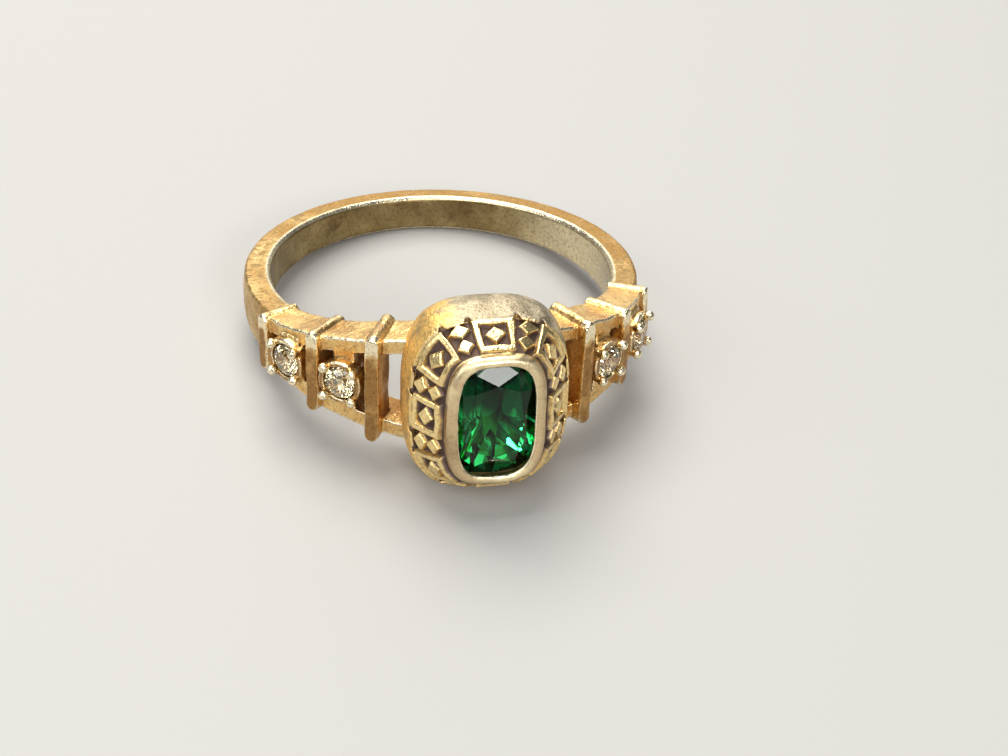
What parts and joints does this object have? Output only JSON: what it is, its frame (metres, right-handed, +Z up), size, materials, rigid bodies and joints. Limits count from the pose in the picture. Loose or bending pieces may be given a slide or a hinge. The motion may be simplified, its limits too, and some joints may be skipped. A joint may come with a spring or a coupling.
{
  "type": "class ring",
  "caption": "Class ring lying on its side: a gold casting with a raised ornamented head, a bezel-set green cushion-cut stone and clear round stones set between bars in open shoulders.",
  "frame": {"origin": "centre of the bounding box, on the surface that the ring lies on", "axes": "+Z up from the surface, -Y towards the ring's head, +X across the ring. The finger hole's axis leans from +Z towards +Y, because the head is longer along the finger than the shank"},
  "size_m": [0.0198, 0.0234, 0.0091],
  "materials": {
    "gold": "worn polished yellow gold with dark antiqued recesses",
    "green_stone": "polished, faceted, deep emerald green",
    "clear_stone": "polished, faceted, colourless"
  },
  "bodies": {
    "root": {"ring_casting": "gold", "centre_stone": "green_stone", "side_stone_left_inner": "clear_stone", "side_stone_left_outer": "clear_stone", "side_stone_right_inner": "clear_stone", "side_stone_right_outer": "clear_stone"}
  },
  "joints": []
}
